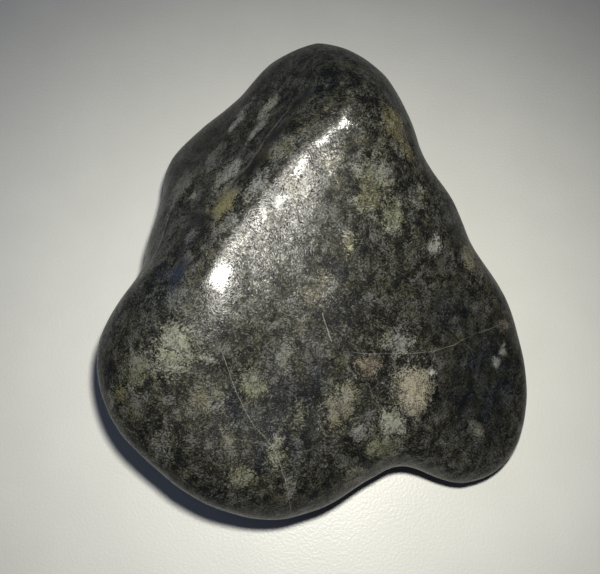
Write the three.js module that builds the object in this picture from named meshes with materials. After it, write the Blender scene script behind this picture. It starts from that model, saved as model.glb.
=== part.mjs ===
// A water-worn ironstone cobble, polished by handling: one solid stone, about 91 mm wide,
// 103 mm long and 47 mm high. Millimetres, +Z up. It rests on a worn flat at z = 0, and the
// origin is the middle of its bounding box, at the bottom.
//
// The stone is worked out as nature made it: a rounded side wall, cut by a few broad worn
// facets that meet in soft edges, with a crisp crease along the bank behind its ridge.

import * as THREE from "three";
import { mergeVertices } from "three/addons/utils/BufferGeometryUtils.js";

// The side wall all round, seen from above: azimuth in degrees, anticlockwise from +X, then
// the radius, the height of the widest point, and how softly the upper edge is rounded.
const rim = [
  [0, 36, 15, 12],
  [18, 31.8, 20, 11],
  [38, 30.2, 22, 10],
  [55, 34.8, 20, 9],
  [70, 42, 19, 9],
  [86, 47.6, 20, 9],
  [102, 48, 18, 9],
  [116, 42.5, 17, 8],
  [130, 41.9, 17, 6],
  [144, 41.8, 16, 4],
  [160, 37.6, 13, 2],
  [178, 37.5, 14, 2],
  [192, 38.5, 20, 4],
  [208, 54.5, 26, 11],
  [222, 57.5, 26, 12],
  [240, 57.5, 23, 12],
  [256, 56.5, 17, 11],
  [270, 53, 15, 11],
  [282, 48, 13, 10],
  [292, 48, 11, 9],
  [303, 58.5, 10, 9],
  [314, 62.8, 9.5, 9],
  [326, 60.6, 10, 10],
  [342, 49.4, 12, 11],
];
const wallBelly = 50;    // the side wall draws in by height squared over this
const wallLean = 0.92;   // scales the wall's value to about a true distance

// Worn facets: the way each one faces, its slope from level (over 90 it faces down), and a
// point on it.
const facets = {
  face: { azimuth: -48, slope: 27, at: [0, 0, 43.4] },         // broad upper face
  flank: { azimuth: -14, slope: 37, at: [18, 10, 40.6] },      // its steeper right side
  crestHigh: { azimuth: -104, slope: 28, at: [1, 16, 47.9] },  // band along the ridge, near the peak
  crestLow: { azimuth: -48, slope: 15, at: [-14, -6, 41.8] },  // the same band, lower down
  bank: { azimuth: 152, slope: 35, at: [-4, 10, 46.1] },       // falls away behind the ridge
  leftFall: { azimuth: 165, slope: 50, at: [-30, -12, 42] },   // steeper, further left
  farEnd: { azimuth: 70, slope: 42, at: [8, 28, 50] },
  corner: { azimuth: -150, slope: 28, at: [-30, -27, 38] },    // where the ridge runs out
  shoulder: { azimuth: 150, slope: 42, at: [-10.6, 12.3, 41] },   // smooth slope outside the bank
  shoulderLeft: { azimuth: 160, slope: 52, at: [-31, 9, 32] },
  overhang: { azimuth: -140, slope: 128, at: [-33, -28, 4] },
  farUnderside: { azimuth: 40, slope: 145, at: [20, 16, 2] },
};

// How widely two facets run into each other. The crease at the foot of the bank stays crisp.
const blend = {
  face: 14,
  crest: 9,
  crestEdge: 4,
  ridge: 3,
  bank: 4,
  end: 10,
  shoulder: 3,
  crease: 0.2,
  corner: 8,
  underside: 8,
  keel: 12,
};

// Low swells and dishes of the upper face, and a wide dish near its lower end.
const faceSwells = [
  { at: [8, 26], radius: 15, height: 4 },
  { at: [10, -20], radius: 24, height: 0.9 },
  { at: [30, -30], radius: 9, height: -0.8 },
];
const lowDish = { at: [-17, -33], radius: 15, height: -1.6 };

// Slight unevenness of the whole skin.
const waviness = { height: 0.35, length: [5.3, 6.1, 7], shift: [0.6, 1.9, 0.4] };

const core = [0, -2, 20];      // a point inside from which all of the surface can be seen
const restHeight = 0.3;        // the stone is worn flat this far above its round keel
const reach = 90;              // no part of the surface is further than this from the core
const halvings = 40;
const skinDetail = 20;         // 8,820 triangles
const skinSpread = [1, 1.1, 0.65];   // flattens the fan of directions, for more points at the rim

// A periodic curve through one column of the rim table, with Catmull-Rom tangents.
function rimValue(azimuth, column) {
  const turn = THREE.MathUtils.euclideanModulo(azimuth, 360);
  const count = rim.length;
  let first = count - 1;
  while (first > 0 && rim[first][0] > turn) {
    first -= 1;
  }
  const row = (step) => rim[(first + step + count) % count];
  const angle = (step) => row(step)[0] + 360 * Math.floor((first + step) / count);
  const span = angle(1) - angle(0);
  const t = (turn - angle(0)) / span;
  const before = row(-1)[column];
  const start = row(0)[column];
  const end = row(1)[column];
  const after = row(2)[column];
  const startTangent = (span * (end - before)) / (angle(1) - angle(-1));
  const endTangent = (span * (after - start)) / (angle(2) - angle(0));
  return (
    (2 * t ** 3 - 3 * t ** 2 + 1) * start +
    (t ** 3 - 2 * t ** 2 + t) * startTangent +
    (3 * t ** 2 - 2 * t ** 3) * end +
    (t ** 3 - t ** 2) * endTangent
  );
}

// Height above a facet's plane, along its normal.
function above(facet, x, y, z) {
  const azimuth = THREE.MathUtils.degToRad(facet.azimuth);
  const slope = THREE.MathUtils.degToRad(facet.slope);
  const [px, py, pz] = facet.at;
  const outward = (x - px) * Math.cos(azimuth) + (y - py) * Math.sin(azimuth);
  return outward * Math.sin(slope) + (z - pz) * Math.cos(slope);
}

// What is inside both of two shapes, with the edge between them rounded over.
function softCut(a, b, width) {
  const overlap = Math.max(width - Math.abs(a - b), 0);
  return Math.max(a, b) + (overlap * overlap) / (4 * width);
}

// What is inside either of two shapes, with the valley between them filled a little.
function softJoin(a, b, width) {
  return -softCut(-a, -b, width);
}

function swell({ at, radius, height }, x, y) {
  return height * Math.exp(-((x - at[0]) ** 2 + (y - at[1]) ** 2) / radius ** 2);
}

// Negative inside the stone, positive outside it.
function stoneValue(x, y, z) {
  const azimuth = THREE.MathUtils.radToDeg(Math.atan2(y, x));
  const belly = (z - rimValue(azimuth, 2)) ** 2 / wallBelly;
  const side = (Math.hypot(x, y) - rimValue(azimuth, 1) + belly) * wallLean;

  let face = softCut(above(facets.face, x, y, z), above(facets.flank, x, y, z), blend.face);
  for (const rise of faceSwells) {
    face -= swell(rise, x, y);
  }
  const crest = softJoin(above(facets.crestHigh, x, y, z), above(facets.crestLow, x, y, z), blend.crest);
  face = softCut(face, crest, blend.crestEdge) - swell(lowDish, x, y);
  const bank = softCut(above(facets.bank, x, y, z), above(facets.leftFall, x, y, z), blend.bank);
  const ridge = softCut(face, bank, blend.ridge);
  const body = softCut(ridge, above(facets.farEnd, x, y, z), blend.end);
  const shoulderLeft = above(facets.shoulderLeft, x, y, z);
  const shoulder = softCut(above(facets.shoulder, x, y, z), shoulderLeft, blend.shoulder);

  let top = softCut(body, shoulder, blend.crease);
  top = softCut(top, above(facets.corner, x, y, z), blend.corner);

  let under = softCut(above(facets.overhang, x, y, z), -z, blend.underside);
  under = softCut(under, above(facets.farUnderside, x, y, z), blend.underside);

  const stone = softCut(softCut(top, side, rimValue(azimuth, 3)), under, blend.keel);
  const wave = [x, y, z].map((value, axis) => Math.sin(value / waviness.length[axis] + waviness.shift[axis]));
  return stone - waviness.height * wave[0] * wave[1] * wave[2];
}

// Distance from the core to the surface along a direction, stopping at the resting flat.
function surfaceDistance(dx, dy, dz) {
  let inside = 0;
  let outside = reach;
  for (let step = 0; step < halvings; step += 1) {
    const middle = (inside + outside) / 2;
    if (stoneValue(core[0] + dx * middle, core[1] + dy * middle, core[2] + dz * middle) < 0) {
      inside = middle;
    } else {
      outside = middle;
    }
  }
  const toFlat = dz < 0 ? (restHeight - core[2]) / dz : Infinity;
  return Math.min(inside, toFlat);
}

function makeStoneGeometry() {
  const ball = new THREE.IcosahedronGeometry(1, skinDetail);
  ball.deleteAttribute("normal");
  ball.deleteAttribute("uv");
  const geometry = mergeVertices(ball);
  const points = geometry.attributes.position;
  const spread = new THREE.Vector3(...skinSpread);
  const direction = new THREE.Vector3();
  for (let i = 0; i < points.count; i += 1) {
    direction.fromBufferAttribute(points, i).multiply(spread).normalize();
    const far = surfaceDistance(direction.x, direction.y, direction.z);
    points.setXYZ(i, core[0] + direction.x * far, core[1] + direction.y * far, core[2] + direction.z * far);
  }
  geometry.computeBoundingBox();
  const { min, max } = geometry.boundingBox;
  geometry.translate(-(min.x + max.x) / 2, -(min.y + max.y) / 2, -min.z);
  geometry.computeVertexNormals();
  return geometry;
}

const darkPolishedStone = new THREE.MeshStandardMaterial({ color: 0x3c3c37, roughness: 0.38, metalness: 0 });

const stone = new THREE.Mesh(makeStoneGeometry(), darkPolishedStone);
stone.name = "ironstone";

const part = new THREE.Group();
part.name = "ironstone_cobble";
part.add(stone);

export default part;
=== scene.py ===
import math

import bmesh
import bpy
import numpy as np
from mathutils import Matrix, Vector, noise


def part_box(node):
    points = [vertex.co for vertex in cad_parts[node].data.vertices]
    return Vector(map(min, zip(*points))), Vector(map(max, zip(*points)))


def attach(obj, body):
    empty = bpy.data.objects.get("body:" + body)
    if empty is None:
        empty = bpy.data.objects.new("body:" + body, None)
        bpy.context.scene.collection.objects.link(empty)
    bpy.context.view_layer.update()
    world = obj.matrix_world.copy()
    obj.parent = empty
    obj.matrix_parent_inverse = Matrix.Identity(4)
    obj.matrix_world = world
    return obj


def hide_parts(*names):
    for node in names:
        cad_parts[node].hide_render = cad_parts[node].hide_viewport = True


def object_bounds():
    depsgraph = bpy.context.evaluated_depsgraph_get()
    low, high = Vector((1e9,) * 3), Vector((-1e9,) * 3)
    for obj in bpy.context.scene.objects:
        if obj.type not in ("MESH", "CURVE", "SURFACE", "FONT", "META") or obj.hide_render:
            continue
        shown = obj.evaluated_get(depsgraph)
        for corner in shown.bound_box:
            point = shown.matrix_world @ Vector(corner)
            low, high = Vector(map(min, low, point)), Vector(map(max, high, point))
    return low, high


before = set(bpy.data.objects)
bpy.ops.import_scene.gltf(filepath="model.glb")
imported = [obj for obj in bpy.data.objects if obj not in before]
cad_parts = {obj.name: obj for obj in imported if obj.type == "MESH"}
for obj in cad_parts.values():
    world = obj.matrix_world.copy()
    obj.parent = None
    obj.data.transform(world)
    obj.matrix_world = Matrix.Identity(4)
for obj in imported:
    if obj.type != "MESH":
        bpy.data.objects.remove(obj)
cadLow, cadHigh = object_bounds()
mm = 0.001


def hexToLinear(code):
    channels = [int(code[i:i + 2], 16) / 255 for i in (1, 3, 5)]
    return [c / 12.92 if c <= 0.04045 else ((c + 0.055) / 1.055) ** 2.4 for c in channels] + [1]


# A setting goes to the node itself where it has that property, otherwise to the socket of that name
# or number. A link may start at a socket, or at a node, which stands for its first output.
def addNode(tree, kind, settings=None, links=None):
    node = tree.nodes.new(kind)
    for name, value in (settings or {}).items():
        if isinstance(name, str) and hasattr(node, name):
            setattr(node, name, value)
        else:
            node.inputs[name].default_value = value
    for name, source in (links or {}).items():
        output = source.outputs[0] if isinstance(source, bpy.types.Node) else source
        tree.links.new(output, node.inputs[name])
    return node


def newMaterial(name):
    material = bpy.data.materials.new(name)
    material.use_nodes = True
    material.node_tree.nodes.clear()
    return material


# camera

cameraView = {
    "place": (-4.8, -41.05, 145.6),  # mm, a hand's breadth above the stone
    "tilt": 16,                      # degrees from straight down
    "lens": 37.2,
    "nearest": 5,                    # mm, nothing closer than this is drawn
}

cameraData = bpy.data.cameras.new("camera")
cameraData.lens = cameraView["lens"]
cameraData.clip_start = cameraView["nearest"] * mm
camera = bpy.data.objects.new("camera", cameraData)
camera.location = Vector(cameraView["place"]) * mm
camera.rotation_euler = (math.radians(cameraView["tilt"]), 0, 0)
bpy.context.scene.collection.objects.link(camera)
bpy.context.scene.camera = camera
print("camera set")

# shape of the stone

# The side wall all round, seen from above: azimuth in degrees, radius, height of its widest point,
# and how softly its upper edge is rounded.
stoneRim = [
    (0, 35, 15, 8), (18, 31, 20, 8), (38, 29.5, 22, 8), (55, 35, 20, 8),
    (70, 42, 19, 8), (86, 47.5, 20, 9), (102, 48, 18, 9), (116, 42, 17, 7),
    (130, 41.5, 17, 6), (144, 41.5, 16, 4), (160, 37.5, 13, 2), (178, 37.5, 14, 2),
    (192, 38.5, 20, 4), (208, 52.5, 26, 8), (222, 56, 26, 9), (240, 56.5, 23, 9),
    (256, 56, 17, 8), (270, 52.5, 15, 8), (282, 48, 13, 7), (292, 48, 11, 6),
    (303, 57.5, 10, 6), (314, 61, 9.5, 6), (326, 58, 10, 6), (342, 47.5, 12, 8),
]
# worn facets: the way each faces, its slope from level (over 90 it faces down), a point on it
stoneFacets = {
    "face": (-48, 27, (0, 0, 43.4)),
    "flank": (-14, 37, (18, 10, 40.6)),
    "crestHigh": (-112, 27, (1, 16, 46.6)),
    "crestLow": (-48, 15, (-14, -6, 41.8)),
    "bank": (152, 35, (-4, 10, 46.8)),
    "leftFall": (165, 50, (-30, -12, 42)),
    "farEnd": (70, 42, (8, 28, 50)),
    "corner": (-150, 28, (-30, -27, 38)),
    "shoulder": (150, 42, (-10.6, 12.3, 41.7)),
    "shoulderLeft": (160, 52, (-31, 9, 32)),
    "overhang": (-140, 128, (-33, -28, 4)),
    "farUnderside": (40, 145, (20, 16, 2)),
}
# how broadly neighbours are rounded into one another, in mm
stoneEdges = {
    "faceAndFlank": 14,
    "crestHighAndLow": 9,
    "crestAndFace": 4,
    "bankAndLeftFall": 4,
    "ridge": 2,
    "farEnd": 10,
    "shoulders": 3,
    "crease": 0.2,              # the one crisp edge
    "corner": 8,
    "overhangAndFlat": 8,
    "farUnderside": 8,
    "foot": 12,
}
stoneForm = {
    "cuts": 127,                # grid lines on each side of the starting cube
    "spread": (1, 1.1, 0.65),   # flattens the fan of directions, for more points at the rim
    "core": (0, -2, 20),        # mm, all of the surface can be seen from here
    "reach": 90,                # mm from the core, past all of the surface
    "halvings": 30,             # of that reach, to find the surface
    "restHeight": 0.3,          # mm, where the worn flat underneath is cut
    "wallBelly": 50,            # the larger, the straighter the side wall
    "wallLean": 0.92,           # turns a distance outwards into one from the leaning wall
    # swells and dishes of the face: middle seen from above, width and height in mm
    "faceSwells": [((8, 26), 15, 4), ((10, -20), 24, 0.9), ((30, -30), 9, -0.8)],
    "lowDish": ((-17, -33), 15, -1.6),
    # low swells and dishes of the broad face, which break up its sheen
    "faceRelief": [((-4, -6), 13, -0.5), ((5, -24), 14, -0.8), ((-10, -32), 12, -0.8),
                   ((-20, -24), 10, 0.7)],
    "waviness": (0.35, (5.3, 6.1, 7), (0.6, 1.9, 0.4)),     # mm high, how long and how far shifted
}


# periodic curve through one column of the rim, with Catmull-Rom tangents
def rimValue(azimuth, column):
    count = len(stoneRim)
    angles = np.array([row[0] for row in stoneRim], float)
    values = np.array([row[column] for row in stoneRim], float)
    turn = np.mod(azimuth, 360)
    first = np.searchsorted(angles, turn, side="right") - 1

    def angleAt(step):
        return angles[(first + step) % count] + 360 * ((first + step) // count)

    def valueAt(step):
        return values[(first + step) % count]

    span = angleAt(1) - angleAt(0)
    t = (turn - angleAt(0)) / span
    startTangent = span * (valueAt(1) - valueAt(-1)) / (angleAt(1) - angleAt(-1))
    endTangent = span * (valueAt(2) - valueAt(0)) / (angleAt(2) - angleAt(0))
    return ((2 * t ** 3 - 3 * t ** 2 + 1) * valueAt(0) + (t ** 3 - 2 * t ** 2 + t) * startTangent
            + (3 * t ** 2 - 2 * t ** 3) * valueAt(1) + (t ** 3 - t ** 2) * endTangent)


def aboveFacet(name, p):
    azimuth, slope, at = stoneFacets[name]
    a, s = math.radians(azimuth), math.radians(slope)
    outward = (p[:, 0] - at[0]) * math.cos(a) + (p[:, 1] - at[1]) * math.sin(a)
    return outward * math.sin(s) + (p[:, 2] - at[2]) * math.cos(s)


def softCut(a, b, width):
    overlap = np.maximum(width - np.abs(a - b), 0)
    return np.maximum(a, b) + overlap ** 2 / (4 * width)


def softJoin(a, b, width):
    return -softCut(-a, -b, width)


def swell(shape, p):
    at, radius, height = shape
    return height * np.exp(-((p[:, 0] - at[0]) ** 2 + (p[:, 1] - at[1]) ** 2) / radius ** 2)


# negative inside the stone, positive outside it, in mm
def stoneValue(p):
    azimuth = np.degrees(np.arctan2(p[:, 1], p[:, 0]))
    belly = (p[:, 2] - rimValue(azimuth, 2)) ** 2 / stoneForm["wallBelly"]
    side = (np.hypot(p[:, 0], p[:, 1]) - rimValue(azimuth, 1) + belly) * stoneForm["wallLean"]

    face = softCut(aboveFacet("face", p), aboveFacet("flank", p), stoneEdges["faceAndFlank"])
    for shape in stoneForm["faceSwells"]:
        face -= swell(shape, p)
    crest = softJoin(aboveFacet("crestHigh", p), aboveFacet("crestLow", p), stoneEdges["crestHighAndLow"])
    face = softCut(face, crest, stoneEdges["crestAndFace"]) - swell(stoneForm["lowDish"], p)
    for shape in stoneForm["faceRelief"]:
        face -= swell(shape, p)
    bank = softCut(aboveFacet("bank", p), aboveFacet("leftFall", p), stoneEdges["bankAndLeftFall"])
    body = softCut(softCut(face, bank, stoneEdges["ridge"]), aboveFacet("farEnd", p), stoneEdges["farEnd"])
    shoulder = softCut(aboveFacet("shoulder", p), aboveFacet("shoulderLeft", p), stoneEdges["shoulders"])
    top = softCut(body, shoulder, stoneEdges["crease"])
    top = softCut(top, aboveFacet("corner", p), stoneEdges["corner"])

    under = softCut(aboveFacet("overhang", p), -p[:, 2], stoneEdges["overhangAndFlat"])
    under = softCut(under, aboveFacet("farUnderside", p), stoneEdges["farUnderside"])
    stone = softCut(softCut(top, side, rimValue(azimuth, 3)), under, stoneEdges["foot"])
    height, lengths, shifts = stoneForm["waviness"]
    wave = np.prod([np.sin(p[:, i] / lengths[i] + shifts[i]) for i in range(3)], axis=0)
    return stone - height * wave


# a cube's grid, blown out along rays from the core until it meets the surface
def makeStoneMesh():
    mesh = bpy.data.meshes.new("polished_ironstone")
    grid = bmesh.new()
    bmesh.ops.create_cube(grid, size=2)
    bmesh.ops.subdivide_edges(grid, edges=grid.edges[:], cuts=stoneForm["cuts"], use_grid_fill=True)
    grid.to_mesh(mesh)
    grid.free()
    points = np.zeros(len(mesh.vertices) * 3)
    mesh.vertices.foreach_get("co", points)
    rays = np.tan(points.reshape(-1, 3) * math.pi / 4) * stoneForm["spread"]
    rays /= np.linalg.norm(rays, axis=1)[:, None]
    core = np.array(stoneForm["core"], float)
    inside = np.zeros(len(rays))
    outside = np.full(len(rays), float(stoneForm["reach"]))
    for _ in range(stoneForm["halvings"]):
        middle = (inside + outside) / 2
        within = stoneValue(core + rays * middle[:, None]) < 0
        inside = np.where(within, middle, inside)
        outside = np.where(within, outside, middle)
    down = rays[:, 2] < 0
    toFlat = np.full(len(rays), np.inf)
    toFlat[down] = (stoneForm["restHeight"] - core[2]) / rays[down, 2]
    points = core + rays * np.minimum(inside, toFlat)[:, None]

    low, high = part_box("ironstone")
    points *= mm
    points += (np.array(low) + np.array(high)) / 2 - (points.min(0) + points.max(0)) / 2
    points[:, 2] += low[2] - points[:, 2].min()
    mesh.vertices.foreach_set("co", points.ravel())
    mesh.polygons.foreach_set("use_smooth", [True] * len(mesh.polygons))
    mesh.update()
    return mesh


stoneRelief = {
    "rolls": (0.10, 5.0),     # mm: height and width of the broad unevenness that water leaves
    "dimples": (0.022, 1.8),  # mm: the same for the small dimples between the grains
    "flatEdge": 1.5,          # mm above the table, below which the relief dies out
}


# fine relief of the skin
def addRelief(mesh):
    count = len(mesh.vertices)
    points = np.zeros(count * 3)
    normals = np.zeros(count * 3)
    mesh.vertices.foreach_get("co", points)
    mesh.vertex_normals.foreach_get("vector", normals)
    points = points.reshape(-1, 3)
    normals = normals.reshape(-1, 3)
    lift = np.zeros(count)
    for height, width in (stoneRelief["rolls"], stoneRelief["dimples"]):
        places = points / (width * mm)
        lift += height * mm * np.array([noise.noise(Vector(place)) for place in places])
    lift *= np.clip(points[:, 2] / (stoneRelief["flatEdge"] * mm), 0, 1)
    points += normals * lift[:, None]
    mesh.vertices.foreach_set("co", points.ravel())
    mesh.update()


# Ironstone, rounded by water and then polished by handling. The eye sees a nearly black ground of
# fine iron-rich needles matted into bundles, pale grains that crowd together into soft olive,
# grey-green and beige clouds, a few hairline veins, and a satin sheen full of tiny dark pits.

# Shade in the crease and the notch, a bluish reflection, some broad sheen and two edge highlights are
# painted into the colour below.
mineralAndPaintedLightColours = {
    "beige": "#8c8778",
    "pale": "#84877a",
    "straw": "#747152",
    "olive": "#69675a",
    "brown": "#59553f",
    "green": "#686b5b",
    "sage": "#696b5b",
    "grey": "#6c6d6a",
    # pale chalky mineral, also used for painted highlights on edges
    "chalk_and_edge_highlight": "#8d8e8b",
    "pink": "#6c615a",
    # painted reflection of the bluish window light
    "painted_blue_reflection": "#202a40",
    # near black: painted shade for the notch, the crease and a pit in the sheen
    "painted_shade": "#0b0c0d",
}
# Where one mineral gathers, most of them pale; a few are painted shade, painted sheen or a painted
# reflection instead: middle and half widths in mm, turn in degrees, mineral, strength.
paleCloudsAndPaintedLight = [
    ((17.2, -27.4, 25), (8.4, 9, 8), 8, "olive", 0.66),
    ((17.3, -26.8, 25), (6.8, 7, 8), 8, "beige", 0.84),
    ((3, -30.5, 29.5), (4.8, 7.6, 7), -35, "olive", 0.80),
    ((8.2, -23.3, 30.5), (4, 5, 6), -30, "pink", 0.62),
    ((12.8, -33, 24), (3.8, 4.6, 6), 15, "pale", 0.72),
    ((11.6, -37.8, 21.5), (5.4, 4, 6), 10, "sage", 0.75),
    ((7, -35, 25.5), (4.4, 3, 5), 25, "grey", 0.60),
    ((14.3, -18.2, 29.4), (4.6, 3.8, 6), 10, "grey", 0.95),
    ((-13.2, -26.8, 33.8), (4, 5, 6), 0, "green", 0.66),
    ((-27, -21.2, 37.5), (5.8, 8, 7), -15, "pale", 0.72),
    ((-34, -24.5, 35), (4.8, 5.6, 6), 0, "sage", 0.68),
    ((-21.5, -29.8, 34.8), (4.4, 5.4, 6), -35, "olive", 0.45),
    ((-1.9, -10.6, 37), (4.8, 5.4, 6), -20, "olive", 0.36),
    ((-5, -16, 36), (3.4, 6.6, 6), 5, "olive", 0.30),
    ((-12, -14, 37.5), (7, 5, 6), 0, "sage", 0.20),
    ((30.3, -0.8, 24.5), (3.6, 6, 7), 25, "olive", 0.85),
    ((4, -1.8, 38.5), (2.2, 3.4, 4), 0, "olive", 0.60),
    ((4, -2.2, 38.5), (1.3, 1.7, 4), 0, "straw", 0.70),
    ((13, 21, 41), (5, 6.6, 7), 20, "brown", 0.80),
    ((16, 17, 38), (3, 3.8, 6), 0, "brown", 0.70),
    ((-19, 5.6, 39.2), (5.4, 8, 6), -20, "olive", 0.80),
    ((-18.8, 4.8, 39.6), (4.2, 5.4, 6), -10, "straw", 0.92),
    ((-12, 15.5, 41), (2.6, 3.4, 5), -30, "brown", 0.60),
    ((1, 12.2, 44.5), (2.8, 3.8, 5), 0, "beige", 0.35),
    ((38.3, -13, 17.5), (3, 1.9, 5), 30, "pink", 0.80),
    ((21.3, 0.2, 31.5), (2.4, 3.2, 5), -20, "chalk_and_edge_highlight", 0.62),
    ((18, 9, 35.5), (3, 4.6, 6), 20, "grey", 0.50),
    # pale sage, with a broad weak sheen right of the ridge painted in
    ((12.4, 4, 36.5), (3.4, 5.6, 6), 10, "sage", 0.74),
    ((8.4, 9, 40), (6, 10, 7), 10, "sage", 0.52),
    # painted sheen: smooth mid-grey on the left of the shoulder
    ((-29.5, 13.5, 27.5), (4, 8, 7), -15, "grey", 0.75),
    ((-39.5, -30, 30), (2.4, 5, 6), 0, "sage", 0.50),
    ((5.3, -42.8, 20), (4.2, 3, 5), 20, "olive", 0.60),
    ((31.3, -34.3, 15.5), (2.8, 2.6, 5), 0, "grey", 0.60),
    ((38, -17.5, 16.5), (1.6, 2.2, 4), 0, "chalk_and_edge_highlight", 0.75),
    ((36, -20.5, 17), (1.5, 1.8, 4), 0, "chalk_and_edge_highlight", 0.70),
    ((21.4, -23.6, 23.5), (1.4, 1.2, 3), 0, "chalk_and_edge_highlight", 0.90),
    ((-21, -23, 36.5), (2, 1.5, 4), 0, "chalk_and_edge_highlight", 0.55),
    ((-23.5, -32, 34), (2.4, 2.2, 4), 0, "grey", 0.50),
    ((-7.4, -22.5, 34.6), (2, 4.4, 5), 0, "grey", 0.60),
    ((-4.6, -32.5, 30.5), (1.8, 4, 5), 5, "grey", 0.40),
    ((-9, -38.5, 29.5), (2.6, 4.6, 5), 5, "pale", 0.55),
    ((-17.6, -35.4, 32), (2.4, 3.2, 5), 0, "grey", 0.35),
    ((-15.5, -43, 29.3), (4, 3.6, 5), 0, "sage", 0.60),
    ((-7, -45, 25.5), (2.2, 3, 5), 0, "grey", 0.55),
    ((-30, -38, 31), (3, 4, 5), -30, "grey", 0.45),
    ((-37.6, -28.5, 32), (1.9, 3, 5), 0, "straw", 0.60),
    # painted reflection of the bluish window on the dark left facet
    ((-27, -8.4, 38), (3, 6, 6), -25, "painted_blue_reflection", 0.85),
    ((-24.7, 0, 37.4), (2.2, 3, 5), -20, "grey", 0.50),
    ((-12.4, 7.6, 42.6), (3.2, 6, 6), -38, "grey", 0.62),        # the bank behind the ridge
    ((-8, 14.5, 43), (2.6, 5, 6), -38, "olive", 0.50),
    ((-17.6, 0.6, 41), (2.2, 4.6, 6), -38, "grey", 0.50),
    ((-5.4, 7.4, 43), (3.4, 4, 5), 0, "olive", 0.50),
    ((-17.8, 13.2, 36.6), (4.4, 5.6, 6), -25, "chalk_and_edge_highlight", 0.90),      # the slope outside the crease
    ((-20.6, 10.5, 35.6), (3, 4.4, 5), -30, "pale", 0.85),
    ((-18, 28, 29.5), (1.9, 5, 6), -40, "chalk_and_edge_highlight", 0.85),
    ((-15.3, 32.5, 29), (1.6, 3.8, 6), -45, "grey", 0.80),
    ((-11, 28, 35), (2.6, 4.4, 6), -30, "pale", 0.88),
    ((-13.2, 22.6, 36), (1.6, 4.6, 5), -38, "chalk_and_edge_highlight", 0.75),
    ((-22.5, 18, 30), (4.4, 8.4, 7), -30, "grey", 0.55),
    ((-26.3, 10.6, 31.2), (1.6, 1.6, 4), 0, "pale", 0.75),
    ((-24.2, 3.4, 36.4), (6, 3.2, 7), -34, "painted_shade", 1.00),       # painted shade in the notch and along the hollow of the crease
    ((-13.5, 12, 40.4), (2.8, 6.4, 5), -38, "painted_shade", 1.00),
    ((-8.7, 18.8, 40.8), (2.8, 7, 5), -38, "painted_shade", 0.95),
    ((-3.9, 26, 41.4), (2.6, 6, 5), -38, "painted_shade", 0.90),
    # painted shade in a pit that breaks the sheen on the crest
    ((0.3, 16.4, 46), (1, 0.8, 3), 0, "painted_shade", 0.80),
]
# where hardly any pale mineral is left, and painted shade along the crease and in the notch: middle and
# half widths in mm, turn, strength
darkClouds = [
    ((33, -25, 16), (13, 17, 12), 0, 1.20),
    ((17, -27, 25), (9, 10, 9), 0, 0.90),
    ((25, -12, 25), (8, 7, 7), 0, 0.60),
    ((-30, -8, 36), (4.6, 9, 7), -15, 1.00),
    ((-24.5, -0.5, 37.5), (3.6, 8, 7), -30, 0.70),
    # painted shade in the notch beside the ridge
    ((-23.8, 3.6, 36.6), (5.4, 2, 5), -34, 1.60),
    ((-12.7, 13, 40.8), (3, 6.4, 5), -38, 1.60),           # painted shade in the hollow of the crease
    ((-7.9, 20, 41.4), (3, 7, 5), -38, 1.60),
    ((-3.4, 27, 41.2), (2.8, 5, 5), -38, 1.40),
    ((0, 28, 43), (8, 7, 8), 0, 0.60),
    ((-22, -47, 24), (12, 9, 10), 0, 0.50),
    ((-7.2, -26.8, 33), (1.8, 8, 6), 0, 0.90),
    ((-16.5, -31, 33), (2.2, 6.4, 6), 10, 0.90),
    ((-11.5, -40, 29.5), (2, 7, 6), 0, 0.90),
    ((-2, -26, 32), (2.6, 6.6, 6), -20, 1.10),
    ((1.6, -6.6, 37), (4, 3, 5), 20, 1.00),
    ((-8, -33, 31), (11, 13, 10), 0, 0.70),
    ((-5.5, -37, 29), (2, 5, 6), 0, 0.80),
    ((4, -12, 35), (6, 4, 5), 30, 0.50),
]
# Hairline veins, and lines of painted shade along the crease and the notch and of painted highlight on two
# edges, each a thin sheet that cuts down through the stone along a path seen from above: path and half
# width in mm, mineral, strength.
veinsAndPaintedLines = [
    (((-18.8, -21.6), (-15.3, -30.4), (-13.7, -33.3), (-9.3, -39), (-6.5, -49.5)), 0.08, "chalk_and_edge_highlight", 0.65),
    (((5, -20.9), (12.4, -20.7), (24.2, -18.7), (28.8, -16.4), (39.3, -12.1)), 0.09, "chalk_and_edge_highlight", 0.55),
    (((23, -37), (26.6, -37.4), (30, -40.4)), 0.06, "chalk_and_edge_highlight", 0.40),
    (((33.5, -25), (36, -29.6), (36.4, -35)), 0.06, "chalk_and_edge_highlight", 0.35),
    (((-0.6, -14.3), (0.1, -16.7), (1.1, -19.3)), 0.13, "chalk_and_edge_highlight", 1.0),
    # painted highlight along the edge of the smooth left band
    (((-29.4, 15), (-31.2, 8), (-32.2, 2), (-36, -8)), 0.14, "chalk_and_edge_highlight", 0.60),
    # painted shade along the crease
    (((-17.6, 9.2), (-14.3, 12.4), (-9.9, 19.7), (-5, 26)), 0.34, "painted_shade", 0.95),
    # painted shade along the top of the notch
    (((-28, 6.4), (-24, 4.4), (-20.6, 1.6)), 0.5, "painted_shade", 0.95),
    # painted highlight on the lip of the crease
    (((-18, 9.8), (-14.8, 12.8), (-10.4, 20.1), (-7, 24)), 0.14, "chalk_and_edge_highlight", 0.45),
]
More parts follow.
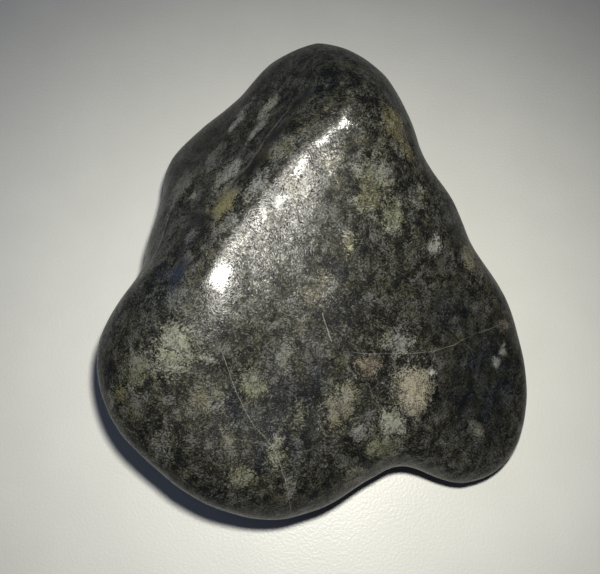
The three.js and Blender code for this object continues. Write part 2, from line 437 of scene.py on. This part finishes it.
# Tiny flats worn smooth by handling, where the stone stands proudest: middle and half widths in mm,
# turn, which way each leans, strength.
polishedSpots = [
    ((-18.8, -8.6, 40.5), (3.4, 4, 6), -38, (0.02, 0.02, 0), 1.0),
    ((-15.6, -3.2, 41.3), (1.4, 3.2, 4), -38, (-0.04, -0.04, 0), 0.4),
    ((-12, 1.3, 41.8), (1.4, 3, 4), -38, (-0.05, -0.05, 0), 0.5),
    ((-8.4, 4.9, 42.4), (1.2, 2.4, 4), -38, (-0.05, -0.03, 0), 0.6),
    ((-4.4, 11, 44.2), (1.5, 3.4, 4), -32, (-0.06, -0.03, 0), 0.7),
    ((-0.9, 15.8, 45.8), (1.9, 3.2, 4), -30, (-0.12, -0.05, 0), 1.0),
    ((2.4, 18.3, 46.4), (3.2, 1.9, 4), 15, (-0.18, -0.03, 0), 1.0),
]
# slopes and a lobe with a quieter grain than the rest: middle and half widths in mm, turn, strength
calmSlopes = [
    ((-26, 24, 27), (7, 20, 14), -35, 0.5),
    ((-37, 2, 25), (5, 16, 14), -10, 0.9),
    ((33, -24, 16), (15, 20, 14), 0, 0.45),
    ((25, -10, 26), (9, 10, 9), 0, 0.35),
]
# Matting, needles and clots are pushes around zero, which break up every cloud and vary the colour.
stoneFinish = {
    "bend": (4.0, 2.0),            # mm: width and strength of the uneven edges
    "felt": (3.0, 1.2, 1.1),       # mm, how far it swirls, strength: matting of both minerals
    "needle": (0.26, 0.6, 1.4),    # mm wide and long, strength; real ones are finer than can show
    "bundle": 1.3,                 # mm across, each with its needles lying another way
    "mottle": (1.9, 4.6, 12, 1.2),         # mm wide and long, turn, strength: clots of pale mineral
    "crack": (4.2, 0.07),          # mm apart and half width: healed cracks
    "filling": (2.5, -0.88, 0.55),         # mm, then the darkest and the palest filling of a crack
    "speck": (1.7, 0.13, 0.25, 0.8),       # mm apart and half width, share, strength: bright grains
    "calmEdge": 0.7,               # share of the way to its middle where a slope is at its calmest
    "cloudEdge": (0.4, 0.08, 0.74),        # how ragged, and the levels where a cloud starts and is full
    "drift": (9.0, 0.0, 0.22),     # mm, then the least and the most pale mineral between clouds
    "hue": (3.5, 0.4, 0.6),        # mm, then the levels of one colour and of the other
    "cleared": 0.15,               # what a dark cloud takes away besides its share
    "share": (-0.3, 1.3),          # the levels where all is ground, and all is pale mineral
    "contrast": (0.45, 0.45, 1.5),         # push of the texture, how dark and how light it then gets
    "ground": ("#0f1319", "#1a190e"),      # bluish iron-rich needles, olive ones
    "palest": ("#66634b", "#7a7c7c"),      # pale mineral between the clouds
    "crystal": (0.34, 0.10),       # mm, and how far their faces tilt
    "roughness": (0.30, 0.38),     # best and worst polished crystals of the ground
    "paleRoughness": 0.06,         # added where the mineral is pale and takes less polish
    "pits": (-0.15, -0.4, 0.35),   # where the texture starts to be a pit, is all pit, roughness added
    "polish": (0.22, 0.35),        # roughness of the polished spots, and what is left of the texture
    "ior": 1.50,                   # iron-bearing silicates
    "shine": 0.27,                 # the polish is broken by pits too small to see
    "bumpHeight": 0.03,            # mm
}
lineFinish = {
    "waver": 0.2,                  # how far they follow the uneven edges
    "fade": (0.3, 0.1),            # matting where they are at their faintest, and what is left there
    "strip": 10,                   # mm across, wide enough for the bends of each path
    "lowest": 15,                  # mm above the table
}
noiseRange = (0.3, 0.7)            # a noise seldom leaves this range


def aroundZero(strength):
    return {"clamp": False, "To Min": -strength / 2, "To Max": strength / 2}


def addBend(tree, inMm):
    width, strength = stoneFinish["bend"]
    bend = addNode(tree, "ShaderNodeTexNoise", {"Scale": 1 / width, "Detail": 4, "Roughness": 0.6},
                   {"Vector": inMm})
    bend = addNode(tree, "ShaderNodeVectorMath", {"operation": "SUBTRACT", 1: (0.5, 0.5, 0.5)},
                   {0: bend.outputs["Color"]})
    return addNode(tree, "ShaderNodeVectorMath", {"operation": "SCALE", "Scale": strength * 2},
                   {0: bend})


def addFelt(tree, inMm):
    width, swirl, strength = stoneFinish["felt"]
    felt = addNode(tree, "ShaderNodeTexNoise",
                   {"Scale": 1 / width, "Detail": 4, "Roughness": 0.7, "Distortion": swirl},
                   {"Vector": inMm})
    return addNode(tree, "ShaderNodeMapRange", aroundZero(strength), {"Value": felt})


def addNeedles(tree, inMm, bent):
    width, length, strength = stoneFinish["needle"]
    bundle = addNode(tree, "ShaderNodeTexVoronoi", {"Scale": 1 / stoneFinish["bundle"]},
                     {"Vector": bent})
    turn = addNode(tree, "ShaderNodeVectorMath", {"operation": "SCALE", "Scale": 2 * math.pi},
                   {0: bundle.outputs["Color"]})
    lie = addNode(tree, "ShaderNodeVectorRotate", {"rotation_type": "EULER_XYZ"},
                  {"Vector": inMm, "Rotation": turn})
    lie = addNode(tree, "ShaderNodeMapping", {"Scale": (1 / width, 1 / width, 1 / length)},
                  {"Vector": lie})
    needle = addNode(tree, "ShaderNodeTexNoise", {"Scale": 1, "Detail": 1}, {"Vector": lie})
    return addNode(tree, "ShaderNodeMapRange", aroundZero(strength), {"Value": needle})


def addMottle(tree, bent):
    width, length, turn, strength = stoneFinish["mottle"]
    drawn = addNode(tree, "ShaderNodeMapping",
                    {"Rotation": (0, 0, math.radians(turn)), "Scale": (1 / width, 1 / length, 1 / width)},
                    {"Vector": bent})
    mottle = addNode(tree, "ShaderNodeTexNoise", {"Scale": 1, "Detail": 3, "Roughness": 0.6},
                     {"Vector": drawn})
    return addNode(tree, "ShaderNodeMapRange", aroundZero(strength), {"Value": mottle})


def addCracks(tree, inMm, bent):
    apart, halfWidth = stoneFinish["crack"]
    cracks = addNode(tree, "ShaderNodeTexVoronoi", {"feature": "DISTANCE_TO_EDGE", "Scale": 1 / apart},
                     {"Vector": bent})
    cracks = addNode(tree, "ShaderNodeMapRange",
                     {"From Max": 2 * halfWidth / apart, "To Min": 1, "To Max": 0}, {"Value": cracks})
    width, darkest, palest = stoneFinish["filling"]
    filling = addNode(tree, "ShaderNodeTexNoise", {"Scale": 1 / width, "Detail": 2}, {"Vector": inMm})
    filling = addNode(tree, "ShaderNodeMapRange",
                      {"From Min": noiseRange[0], "From Max": noiseRange[1], "To Min": darkest,
                       "To Max": palest}, {"Value": filling})
    return addNode(tree, "ShaderNodeMath", {"operation": "MULTIPLY"}, {0: cracks, 1: filling})


def addSpecks(tree, inMm):
    apart, halfWidth, share, strength = stoneFinish["speck"]
    speck = addNode(tree, "ShaderNodeTexVoronoi", {"Scale": 1 / apart}, {"Vector": inMm})
    chance = addNode(tree, "ShaderNodeSeparateXYZ", {}, {0: speck.outputs["Color"]})
    size = addNode(tree, "ShaderNodeMapRange", {"From Min": 1 - share, "To Max": 2 * halfWidth / apart},
                   {"Value": chance.outputs["X"]})
    depth = addNode(tree, "ShaderNodeMath", {"operation": "SUBTRACT"},
                    {0: size, 1: speck.outputs["Distance"]})
    return addNode(tree, "ShaderNodeMapRange", {"From Max": halfWidth / apart, "To Max": strength},
                   {"Value": depth})


# 1 in the middle of a patch and 0 from its half widths outwards
def addBall(tree, bent, middle, halfWidths, turn):
    local = addNode(tree, "ShaderNodeMapping",
                    {"vector_type": "TEXTURE", "Location": middle,
                     "Rotation": (0, 0, math.radians(turn)), "Scale": halfWidths}, {"Vector": bent})
    ball = addNode(tree, "ShaderNodeTexGradient", {"gradient_type": "SPHERICAL"}, {"Vector": local})
    return ball.outputs["Fac"]


# The grain of the stone makes the edge of a cloud ragged, and where the grain is strongest a little
# of the cloud shows even far from its middle.
def addCloud(tree, bent, grain, middle, halfWidths, turn, strength):
    raggedness, start, full = stoneFinish["cloudEdge"]
    ball = addBall(tree, bent, middle, halfWidths, turn)
    ragged = addNode(tree, "ShaderNodeMath", {"operation": "MULTIPLY_ADD", 1: raggedness},
                     {0: grain, 2: ball})
    return addNode(tree, "ShaderNodeMapRange",
                   {"interpolation_type": "SMOOTHSTEP", "From Min": start, "From Max": full,
                    "To Max": strength}, {"Value": ragged})


# how much pale mineral there is, how olive the ground is, and the colour of the pale mineral, with the
# painted shade, sheen and reflection patches mixed in like minerals
def addMineralsAndPaintedLight(tree, inMm, bent, grain):
    width, least, most = stoneFinish["drift"]
    drift = addNode(tree, "ShaderNodeTexNoise", {"Scale": 1 / width, "Detail": 3, "Roughness": 0.6},
                    {"Vector": bent})
    amount = addNode(tree, "ShaderNodeMapRange",
                     {"From Min": noiseRange[0], "From Max": noiseRange[1], "To Min": least,
                      "To Max": most}, {"Value": drift})
    width, low, high = stoneFinish["hue"]
    hue = addNode(tree, "ShaderNodeTexNoise", {"Scale": 1 / width, "Detail": 3}, {"Vector": inMm})
    hue = addNode(tree, "ShaderNodeMapRange", {"From Min": low, "From Max": high}, {"Value": hue})
    first, second = [hexToLinear(code) for code in stoneFinish["palest"]]
    pale = addNode(tree, "ShaderNodeMix", {"data_type": "RGBA", 6: first, 7: second},
                   {0: hue}).outputs[2]
    for middle, halfWidths, turn, strength in darkClouds:
        cloud = addCloud(tree, bent, grain, middle, halfWidths, turn, strength)
        left = addNode(tree, "ShaderNodeMath", {"operation": "SUBTRACT", 0: 1}, {1: cloud})
        amount = addNode(tree, "ShaderNodeMath", {"operation": "MULTIPLY"}, {0: amount, 1: left})
        amount = addNode(tree, "ShaderNodeMath",
                         {"operation": "MULTIPLY_ADD", 1: -stoneFinish["cleared"]},
                         {0: cloud, 2: amount})
        hue = addNode(tree, "ShaderNodeMath", {"operation": "MULTIPLY"}, {0: hue, 1: left})
    for middle, halfWidths, turn, mineral, strength in paleCloudsAndPaintedLight:
        cloud = addCloud(tree, bent, grain, middle, halfWidths, turn, strength)
        amount = addNode(tree, "ShaderNodeMath", {"operation": "MAXIMUM"}, {0: amount, 1: cloud})
        pale = addNode(tree, "ShaderNodeMix",
                       {"data_type": "RGBA", 7: hexToLinear(mineralAndPaintedLightColours[mineral])},
                       {0: cloud, 6: pale}).outputs[2]
    return amount, hue, pale


# the share of pale mineral after the grain has broken it up, and the colour of both together
def mixMinerals(tree, level, hue, pale, texture):
    low, high = stoneFinish["share"]
    share = addNode(tree, "ShaderNodeMapRange",
                    {"interpolation_type": "SMOOTHSTEP", "From Min": low, "From Max": high},
                    {"Value": level})
    first, second = [hexToLinear(code) for code in stoneFinish["ground"]]
    ground = addNode(tree, "ShaderNodeMix", {"data_type": "RGBA", 6: first, 7: second}, {0: hue})
    colour = addNode(tree, "ShaderNodeMix", {"data_type": "RGBA"},
                     {0: share, 6: ground.outputs[2], 7: pale})
    push, dark, light = stoneFinish["contrast"]
    shade = addNode(tree, "ShaderNodeMapRange",
                    {"From Min": -push, "From Max": push, "To Min": dark, "To Max": light},
                    {"Value": texture})
    colour = addNode(tree, "ShaderNodeVectorMath", {"operation": "SCALE"},
                     {0: colour.outputs[2], "Scale": shade})
    return share, colour


# a sheet that stands over the path of a vein or painted line, which a curve draws inside a strip from
# start to end
def addLineSheet(tree, wavy, path, halfWidth, strength):
    strip = lineFinish["strip"]
    start, end = Vector(path[0]), Vector(path[-1])
    length = (end - start).length
    along = (end - start) / length
    local = addNode(tree, "ShaderNodeMapping",
                    {"vector_type": "TEXTURE", "Location": (start.x, start.y, 0),
                     "Rotation": (0, 0, math.atan2(along.y, along.x)), "Scale": (length, strip, 1)},
                    {"Vector": wavy})
    local = addNode(tree, "ShaderNodeSeparateXYZ", {}, {0: local})
    sway = addNode(tree, "ShaderNodeFloatCurve", {}, {"Value": local.outputs["X"]})
    points = sway.mapping.curves[0].points
    points[0].location = (0, 0.5)
    points[1].location = (1, 0.5)
    for point in path[1:-1]:
        offset = Vector(point) - start
        aside = along.x * offset.y - along.y * offset.x
        points.new(offset.dot(along) / length, 0.5 + aside / strip)
    sway.mapping.update()
    away = addNode(tree, "ShaderNodeMath", {"operation": "SUBTRACT"}, {0: sway, 1: local.outputs["Y"]})
    away = addNode(tree, "ShaderNodeMath", {"operation": "SUBTRACT", 1: 0.5}, {0: away})
    away = addNode(tree, "ShaderNodeMath", {"operation": "ABSOLUTE"}, {0: away})
    sheet = addNode(tree, "ShaderNodeMapRange",
                    {"From Min": halfWidth / strip / 2, "From Max": halfWidth / strip,
                     "To Min": strength, "To Max": 0}, {"Value": away})
    between = addNode(tree, "ShaderNodeMath", {"operation": "COMPARE", 1: 0.5, 2: 0.5},
                      {0: local.outputs["X"]})
    upper = addNode(tree, "ShaderNodeMath", {"operation": "GREATER_THAN", 1: lineFinish["lowest"]},
                    {0: local.outputs["Z"]})
    sheet = addNode(tree, "ShaderNodeMath", {"operation": "MULTIPLY"}, {0: sheet, 1: between})
    return addNode(tree, "ShaderNodeMath", {"operation": "MULTIPLY"}, {0: sheet, 1: upper})


# veins and painted lines waver a little, and fade where the matting is dark
def addVeinsAndPaintedLines(tree, colour, inMm, bend, felt):
    waver = lineFinish["waver"]
    wavy = addNode(tree, "ShaderNodeVectorMath", {"operation": "MULTIPLY_ADD", 1: (waver, waver, 0)},
                   {0: bend, 2: inMm})
    push, left = lineFinish["fade"]
    fade = addNode(tree, "ShaderNodeMapRange", {"From Min": -push, "From Max": push, "To Min": left},
                   {"Value": felt})
    for path, halfWidth, mineral, strength in veinsAndPaintedLines:
        sheet = addLineSheet(tree, wavy, path, halfWidth, strength)
        sheet = addNode(tree, "ShaderNodeMath", {"operation": "MULTIPLY"}, {0: sheet, 1: fade})
        colour = addNode(tree, "ShaderNodeMix",
                         {"data_type": "RGBA", 7: hexToLinear(mineralAndPaintedLightColours[mineral])},
                         {0: sheet, 6: colour}).outputs[2]
    return colour


# each crystal face is tilted a little differently, and each polished spot leans its own way
def addNormal(tree, crystal, texture, flats, unevenness):
    tilt = stoneFinish["crystal"][1]
    face = addNode(tree, "ShaderNodeVectorMath", {"operation": "SUBTRACT", 1: (0.5, 0.5, 0.5)},
                   {0: crystal.outputs["Color"]})
    tilt = addNode(tree, "ShaderNodeMath", {"operation": "MULTIPLY", 1: tilt}, {0: unevenness})
    face = addNode(tree, "ShaderNodeVectorMath", {"operation": "SCALE"}, {0: face, "Scale": tilt})
    skin = addNode(tree, "ShaderNodeNewGeometry")
    face = addNode(tree, "ShaderNodeVectorMath", {"operation": "ADD"},
                   {0: face, 1: skin.outputs["Normal"]})
    for spot, lean in flats:
        face = addNode(tree, "ShaderNodeVectorMath", {"operation": "MULTIPLY_ADD", 1: lean},
                       {0: spot, 2: face})
    face = addNode(tree, "ShaderNodeVectorMath", {"operation": "NORMALIZE"}, {0: face})
    bumps = addNode(tree, "ShaderNodeMath", {"operation": "MULTIPLY"}, {0: texture, 1: unevenness})
    return addNode(tree, "ShaderNodeBump", {"Distance": stoneFinish["bumpHeight"] * mm, "Strength": 1},
                   {"Height": bumps, "Normal": face})


# pale mineral is a little rougher, polished spots are smoother, and pits are rougher still
def addRoughness(tree, crystal, texture, share, polish):
    best, worst = stoneFinish["roughness"]
    chance = addNode(tree, "ShaderNodeSeparateXYZ", {}, {0: crystal.outputs["Color"]})
    roughness = addNode(tree, "ShaderNodeMapRange", {"To Min": best, "To Max": worst},
                        {"Value": chance.outputs["X"]})
    roughness = addNode(tree, "ShaderNodeMath",
                        {"operation": "MULTIPLY_ADD", 1: stoneFinish["paleRoughness"]},
                        {0: share, 2: roughness})
    roughness = addNode(tree, "ShaderNodeMix", {3: stoneFinish["polish"][0]}, {0: polish, 2: roughness})
    shallow, deep, added = stoneFinish["pits"]
    pits = addNode(tree, "ShaderNodeMapRange",
                   {"From Min": deep, "From Max": shallow, "To Min": added, "To Max": 0},
                   {"Value": texture})
    return addNode(tree, "ShaderNodeMath", {"operation": "ADD"}, {0: roughness, 1: pits})


def makeStoneMaterial():
    material = newMaterial("polished_ironstone")
    tree = material.node_tree
    place = addNode(tree, "ShaderNodeTexCoord")
    inMm = addNode(tree, "ShaderNodeVectorMath", {"operation": "SCALE", "Scale": 1 / mm},
                   {0: place.outputs["Object"]})
    bend = addBend(tree, inMm)
    bent = addNode(tree, "ShaderNodeVectorMath", {"operation": "ADD"}, {0: inMm, 1: bend})

    felt = addFelt(tree, inMm)
    needles = addNeedles(tree, inMm, bent)
    texture = addNode(tree, "ShaderNodeMath", {"operation": "ADD"}, {0: felt, 1: needles})
    clots = addMottle(tree, bent)
    for layer in (addCracks(tree, inMm, bent), addSpecks(tree, inMm)):
        clots = addNode(tree, "ShaderNodeMath", {"operation": "ADD"}, {0: clots, 1: layer})
    for middle, halfWidths, turn, strength in calmSlopes:
        calm = addNode(tree, "ShaderNodeMapRange",
                       {"interpolation_type": "SMOOTHSTEP", "From Max": stoneFinish["calmEdge"],
                        "To Min": 1, "To Max": 1 - strength},
                       {"Value": addBall(tree, bent, middle, halfWidths, turn)})
        texture = addNode(tree, "ShaderNodeMath", {"operation": "MULTIPLY"}, {0: texture, 1: calm})
        clots = addNode(tree, "ShaderNodeMath", {"operation": "MULTIPLY"}, {0: clots, 1: calm})
    grain = addNode(tree, "ShaderNodeMath", {"operation": "ADD"}, {0: texture, 1: clots})

    amount, hue, pale = addMineralsAndPaintedLight(tree, inMm, bent, grain)
    level = addNode(tree, "ShaderNodeMath", {"operation": "ADD"}, {0: amount, 1: grain})
    share, colour = mixMinerals(tree, level, hue, pale, texture)
    colour = addVeinsAndPaintedLines(tree, colour, inMm, bend, felt)

    # some of the same polish shows on pale mineral, wherever it lies thick
    flats = [(addCloud(tree, bent, level, middle, halfWidths, turn, strength), lean)
             for middle, halfWidths, turn, lean, strength in polishedSpots]
    polish = flats[0][0]
    for spot, _ in flats[1:]:
        polish = addNode(tree, "ShaderNodeMath", {"operation": "MAXIMUM"}, {0: polish, 1: spot})
    unevenness = addNode(tree, "ShaderNodeMapRange", {"To Min": 1, "To Max": stoneFinish["polish"][1]},
                         {"Value": polish})
    crystal = addNode(tree, "ShaderNodeTexVoronoi", {"Scale": 1 / stoneFinish["crystal"][0]},
                      {"Vector": inMm})
    shader = addNode(tree, "ShaderNodeBsdfPrincipled",
                     {"IOR": stoneFinish["ior"], "Specular IOR Level": stoneFinish["shine"]},
                     {"Base Color": colour,
                      "Roughness": addRoughness(tree, crystal, texture, share, polish),
                      "Normal": addNormal(tree, crystal, texture, flats, unevenness)})
    addNode(tree, "ShaderNodeOutputMaterial", {}, {"Surface": shader})
    return material


stoneMesh = makeStoneMesh()
addRelief(stoneMesh)
stoneMesh.materials.append(makeStoneMaterial())
stone = bpy.data.objects.new("polished_ironstone", stoneMesh)
bpy.context.scene.collection.objects.link(stone)
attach(stone, "root")
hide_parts("ironstone")
print("stone made")

# table and light

tableTop = {
    "width": 3.0,                 # m
    "colour": ("#d2d3cf", "#dbdcd8"),
    "cloud": 14.0,                # mm, faint unevenness of the paint
    "roughness": 0.38,
    "ripple": (0.6, 0.06),        # mm: width and height of the paint's roller marks
}


# a board with a coat of pale paint, put on with a roller, which gives a faint satin sheen
def makeTableMaterial():
    material = newMaterial("satin_painted_board")
    tree = material.node_tree
    place = addNode(tree, "ShaderNodeTexCoord").outputs["Object"]
    cloud = addNode(tree, "ShaderNodeTexNoise", {"Scale": 1 / (tableTop["cloud"] * mm), "Detail": 4},
                    {"Vector": place})
    first, second = [hexToLinear(code) for code in tableTop["colour"]]
    colour = addNode(tree, "ShaderNodeMix", {"data_type": "RGBA", 6: first, 7: second}, {0: cloud})
    width, height = tableTop["ripple"]
    ripple = addNode(tree, "ShaderNodeTexNoise", {"Scale": 1 / (width * mm), "Detail": 2},
                     {"Vector": place})
    bump = addNode(tree, "ShaderNodeBump", {"Distance": height * mm, "Strength": 1}, {"Height": ripple})
    shader = addNode(tree, "ShaderNodeBsdfPrincipled", {"Roughness": tableTop["roughness"]},
                     {"Base Color": colour.outputs[2], "Normal": bump})
    addNode(tree, "ShaderNodeOutputMaterial", {}, {"Surface": shader})
    return material


def makeTable():
    mesh = bpy.data.meshes.new("table_top")
    half = tableTop["width"] / 2
    z = cadLow[2]
    mesh.from_pydata([(-half, -half, z), (half, -half, z), (half, half, z), (-half, half, z)], [],
                     [(0, 1, 2, 3)])
    mesh.materials.append(makeTableMaterial())
    table = bpy.data.objects.new("table_top", mesh)
    bpy.context.scene.collection.objects.link(table)


keyLamp = {
    "place": (1.8, -23.9, 150),  # mm, just above and to the right of the camera
    "aim": (-6, -18, 0),
    "width": 9,                 # mm, so that the shadow's edge is only a little soft
    "cone": 120,                # degrees, dimming evenly to its edge
    "watts": 1.12,
    "colour": "#fffcf4",
}
skyFill = {
    "place": (-560, 230, 470),  # mm, a pale window on the left
    "aim": (0, 0, 0),
    "width": 500,               # mm
    "watts": 0.55,
    "colour": "#cfdcff",
}
roomGlow = {"colour": "#aab6d8", "strength": 0.06}


def placeLight(name, kind, values):
    data = bpy.data.lights.new(name, kind)
    data.energy = values["watts"]
    data.color = hexToLinear(values["colour"])[:3]
    light = bpy.data.objects.new(name, data)
    light.location = Vector(values["place"]) * mm
    aim = Vector(values["aim"]) * mm - light.location
    light.rotation_euler = aim.to_track_quat("-Z", "Y").to_euler()
    bpy.context.scene.collection.objects.link(light)
    return data


def makeLights():
    lamp = placeLight("key_lamp", "SPOT", keyLamp)
    lamp.spot_size = math.radians(keyLamp["cone"])
    lamp.spot_blend = 1
    lamp.shadow_soft_size = keyLamp["width"] / 2 * mm
    fill = placeLight("sky_fill", "AREA", skyFill)
    fill.shape = "DISK"
    fill.size = skyFill["width"] * mm
    world = bpy.data.worlds.new("room")
    bpy.context.scene.world = world
    world.use_nodes = True
    sky = world.node_tree.nodes["Background"]
    sky.inputs["Color"].default_value = hexToLinear(roomGlow["colour"])
    sky.inputs["Strength"].default_value = roomGlow["strength"]


makeTable()
makeLights()
bpy.context.scene.view_settings.view_transform = "Standard"
bpy.context.scene.view_settings.gamma = 0.88      # a picture with strong contrast
print("table and lights set")
